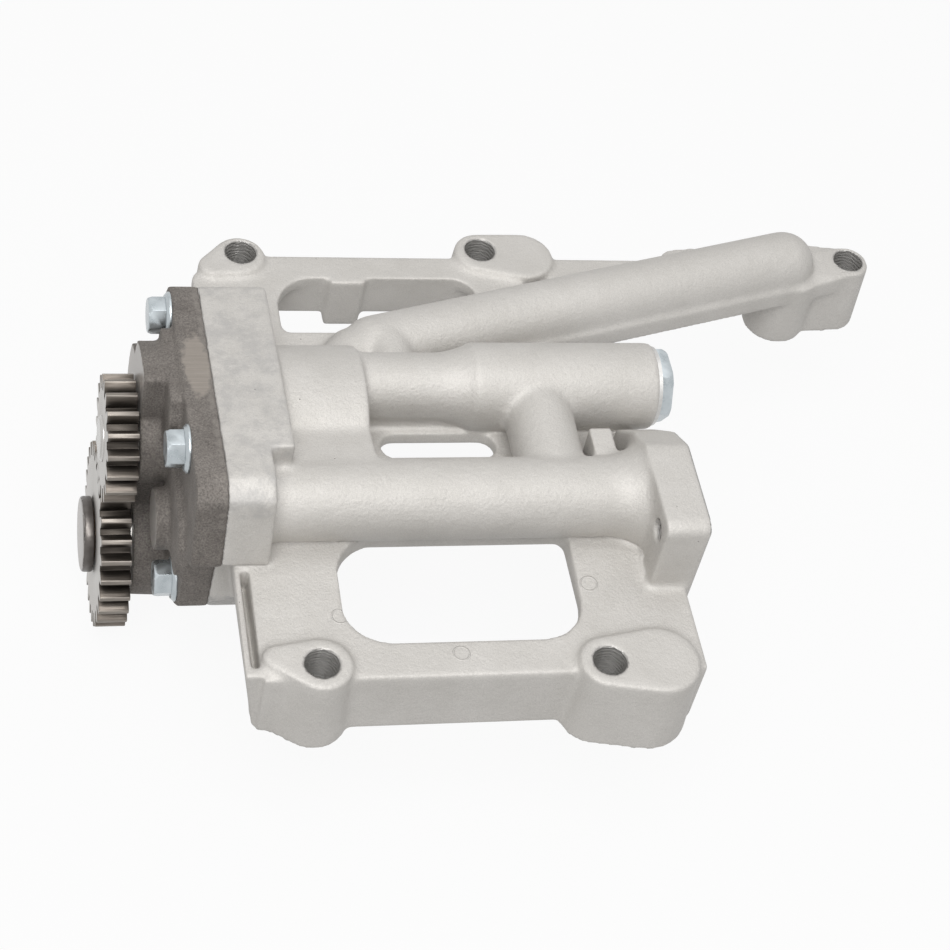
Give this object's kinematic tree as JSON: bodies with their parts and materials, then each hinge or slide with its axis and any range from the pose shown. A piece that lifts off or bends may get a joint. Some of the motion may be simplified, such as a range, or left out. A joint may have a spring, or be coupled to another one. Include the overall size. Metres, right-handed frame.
{
  "type": "engine oil pump",
  "caption": "Gear-driven rotor oil pump for the underside of an engine: windowed light-alloy frame with bolt bosses, iron front cover, idler gear and sprung relief valve.",
  "frame": {"origin": "axis of the near left mounting hole, in the plane of the mounting feet that meet the engine block", "axes": "+X along the pump shaft from the gears to the suction flange, +Y away from the near mounting holes towards the far rail, +Z from the feet towards the bolt heads"},
  "size_m": [0.3485, 0.2466, 0.1411],
  "materials": {
    "cast_alloy": "blasted casting, matt light grey",
    "cast_iron_cover": "rough dark casting with machined faces",
    "zinc_steel": "bluish zinc plate",
    "ground_steel": "ground bright",
    "gear_steel": "hobbed flanks, ground faces, light oil film",
    "pin_steel": "turned, grey",
    "sintered_steel": "sintered, dull grey",
    "bearing_bronze": "plain bearing bronze",
    "spring_steel": "drawn wire",
    "soft_aluminium": "soft sealing washer",
    "seal_rubber": "moulded black"
  },
  "bodies": {
    "housing": {"pump_body": "cast_alloy", "front_cover": "cast_iron_cover", "cover_bolts": "zinc_steel", "cover_dowels": "ground_steel", "shaft_bush_front": "bearing_bronze", "shaft_bush_rear": "bearing_bronze", "idler_pin": "pin_steel", "idler_thrust_washer": "ground_steel", "relief_spring": "spring_steel", "relief_plug": "zinc_steel", "relief_plug_washer": "soft_aluminium", "outlet_seal": "seal_rubber"},
    "driven_shaft": {"pump_shaft": "ground_steel", "drive_gear": "gear_steel", "inner_rotor": "sintered_steel", "rotor_drive_pin": "ground_steel"},
    "outer_ring": {"outer_rotor": "sintered_steel"},
    "idler": {"idler_gear": "gear_steel", "idler_bush": "bearing_bronze"},
    "relief_valve": {"relief_plunger": "ground_steel"}
  },
  "joints": [
    {"name": "pump_shaft_spin", "type": "hinge", "parent": "housing", "child": "driven_shaft", "pos_m": [-0.06, 0.117, 0.026], "axis": [1, 0, 0], "continuous": true},
    {"name": "outer_rotor_spin", "type": "hinge", "parent": "housing", "child": "outer_ring", "pos_m": [-0.013, 0.117, 0.0288], "axis": [1, 0, 0], "continuous": true},
    {"name": "idler_spin", "type": "hinge", "parent": "housing", "child": "idler", "pos_m": [-0.064, 0.117, -0.0315], "axis": [1, 0, 0], "continuous": true},
    {"name": "relief_plunger_slide", "type": "slide", "parent": "housing", "child": "relief_valve", "axis": [1, 0, 0], "range_m": [0, 0.015], "stiffness_N_per_m": 4000, "springref_m": -0.008, "deforming": ["relief_spring"]}
  ],
  "couplings": [
    {"joint": "outer_rotor_spin", "follows": "pump_shaft_spin", "ratio": 0.85714},
    {"joint": "idler_spin", "follows": "pump_shaft_spin", "ratio": -0.64286}
  ]
}
